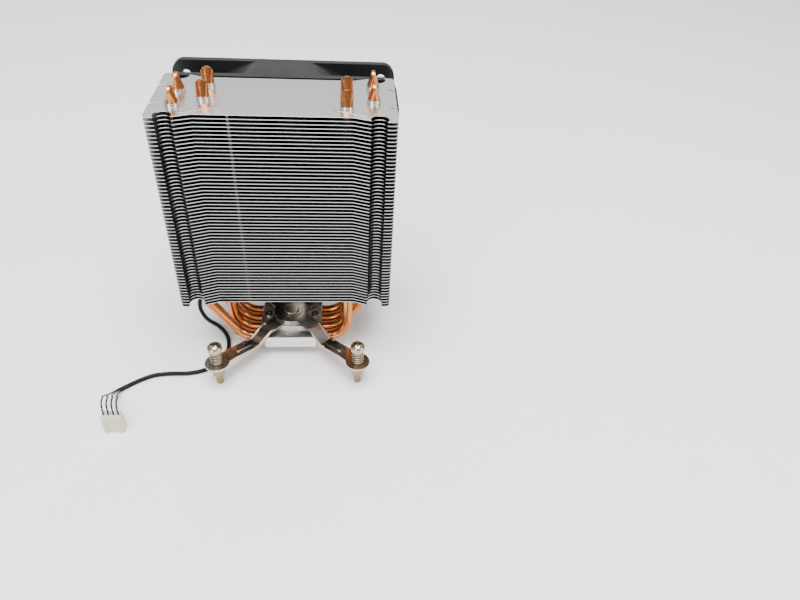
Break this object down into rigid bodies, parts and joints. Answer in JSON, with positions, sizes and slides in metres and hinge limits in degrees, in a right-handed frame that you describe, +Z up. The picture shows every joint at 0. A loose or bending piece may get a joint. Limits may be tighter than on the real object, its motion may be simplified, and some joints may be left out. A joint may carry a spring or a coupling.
{
  "type": "cpu tower cooler",
  "caption": "Tower heat sink for a processor: finned stack on copper heat pipes, cross bracket with spring screws, and a rear axial fan with lead and plug.",
  "frame": {"origin": "centre of the base's flat contact face, which rests on the processor", "axes": "+X to the right across the fins' long side, +Y from the fins to the fan, +Z up along the tower; the contact face looks along -Z"},
  "size_m": [0.1589, 0.1425, 0.1671],
  "materials": {
    "fin_aluminium": "satin rolled sheet",
    "top_aluminium": "smooth bright sheet",
    "copper": "drawn copper, polished",
    "base_aluminium": "brushed",
    "bracket_nickel": "dark nickel plate",
    "screw_steel": "bright nickel plate",
    "spring_steel": "plated wire",
    "standoff_metal": "dull nickel over brass",
    "fan_plastic": "satin black moulding",
    "rotor_plastic": "satin black moulding",
    "label_foil": "plain foil",
    "motor_steel": "laminated steel",
    "magnet": "bonded ferrite",
    "coil_copper": "enamelled wire",
    "board": "circuit board",
    "bearing_bronze": "sintered bronze",
    "shaft_steel": "ground",
    "grommet_rubber": "matte",
    "cable_sleeve": "satin sleeve",
    "wire_jacket": "satin jacket",
    "plug_ivory": "ivory moulding",
    "terminal_tin": "tinned"
  },
  "bodies": {
    "heatsink": {"base_block": "base_aluminium", "base_cap": "base_aluminium", "bearing_sleeve": "bearing_bronze", "cable_grommet": "grommet_rubber", "cap_screws": "screw_steel", "fan_cable": "cable_sleeve", "fan_clip_left": "fan_plastic", "fan_clip_right": "fan_plastic", "fan_frame": "fan_plastic", "fan_plug": "plug_ivory", "fan_screws": "screw_steel", "fan_wires": "wire_jacket", "fin_stack": "fin_aluminium", "heat_pipe_1": "copper", "heat_pipe_2": "copper", "heat_pipe_3": "copper", "heat_pipe_4": "copper", "hub_label": "label_foil", "motor_board": "board", "pivot_pin": "bracket_nickel", "pivot_washer": "bracket_nickel", "plug_terminals": "terminal_tin", "stator_coils": "coil_copper", "stator_core": "motor_steel", "strut_leads": "wire_jacket", "top_fin": "top_aluminium"},
    "rotor": {"impeller": "rotor_plastic", "yoke_cup": "motor_steel", "magnet_ring": "magnet", "rotor_shaft": "shaft_steel"},
    "arm_a": {"bracket_arm_a": "bracket_nickel", "standoff_1": "standoff_metal", "standoff_4": "standoff_metal", "coil_spring_1": "spring_steel", "coil_spring_4": "spring_steel"},
    "arm_b": {"bracket_arm_b": "bracket_nickel", "standoff_2": "standoff_metal", "standoff_3": "standoff_metal", "coil_spring_2": "spring_steel", "coil_spring_3": "spring_steel"},
    "washer_1": {"spring_washer_1": "screw_steel"},
    "screw_1": {"spring_screw_1": "screw_steel"},
    "washer_2": {"spring_washer_2": "screw_steel"},
    "screw_2": {"spring_screw_2": "screw_steel"},
    "washer_3": {"spring_washer_3": "screw_steel"},
    "screw_3": {"spring_screw_3": "screw_steel"},
    "washer_4": {"spring_washer_4": "screw_steel"},
    "screw_4": {"spring_screw_4": "screw_steel"}
  },
  "joints": [
    {"name": "fan_spin", "type": "hinge", "parent": "heatsink", "child": "rotor", "pos_m": [0, 0.0397, 0.0888], "axis": [0, 1, 0], "continuous": true},
    {"name": "arm_a_swing", "type": "hinge", "parent": "heatsink", "child": "arm_a", "pos_m": [0, 0, 0.0105], "axis": [0, 0, 1], "range_deg": [0, 18.4]},
    {"name": "arm_b_swing", "type": "hinge", "parent": "heatsink", "child": "arm_b", "pos_m": [0, 0, 0.0122], "axis": [0, 0, 1], "range_deg": [-18.4, 0]},
    {"name": "screw_1_lift", "type": "slide", "parent": "arm_a", "child": "washer_1", "axis": [0, 0, 1], "range_m": [0, 0.0045], "deforming": ["coil_spring_1"]},
    {"name": "screw_1_spin", "type": "hinge", "parent": "washer_1", "child": "screw_1", "pos_m": [-0.04, -0.04, 0.012], "axis": [0, 0, 1], "range_deg": [0, 3240]},
    {"name": "screw_2_lift", "type": "slide", "parent": "arm_b", "child": "washer_2", "axis": [0, 0, 1], "range_m": [0, 0.0045], "deforming": ["coil_spring_2"]},
    {"name": "screw_2_spin", "type": "hinge", "parent": "washer_2", "child": "screw_2", "pos_m": [-0.04, 0.04, 0.012], "axis": [0, 0, 1], "range_deg": [0, 3240]},
    {"name": "screw_3_lift", "type": "slide", "parent": "arm_b", "child": "washer_3", "axis": [0, 0, 1], "range_m": [0, 0.0045], "deforming": ["coil_spring_3"]},
    {"name": "screw_3_spin", "type": "hinge", "parent": "washer_3", "child": "screw_3", "pos_m": [0.04, -0.04, 0.012], "axis": [0, 0, 1], "range_deg": [0, 3240]},
    {"name": "screw_4_lift", "type": "slide", "parent": "arm_a", "child": "washer_4", "axis": [0, 0, 1], "range_m": [0, 0.0045], "deforming": ["coil_spring_4"]},
    {"name": "screw_4_spin", "type": "hinge", "parent": "washer_4", "child": "screw_4", "pos_m": [0.04, 0.04, 0.012], "axis": [0, 0, 1], "range_deg": [0, 3240]}
  ],
  "couplings": [
    {"joint": "screw_1_spin", "follows": "screw_1_lift", "rad_per_m": 12566},
    {"joint": "screw_2_spin", "follows": "screw_2_lift", "rad_per_m": 12566},
    {"joint": "screw_3_spin", "follows": "screw_3_lift", "rad_per_m": 12566},
    {"joint": "screw_4_spin", "follows": "screw_4_lift", "rad_per_m": 12566}
  ]
}
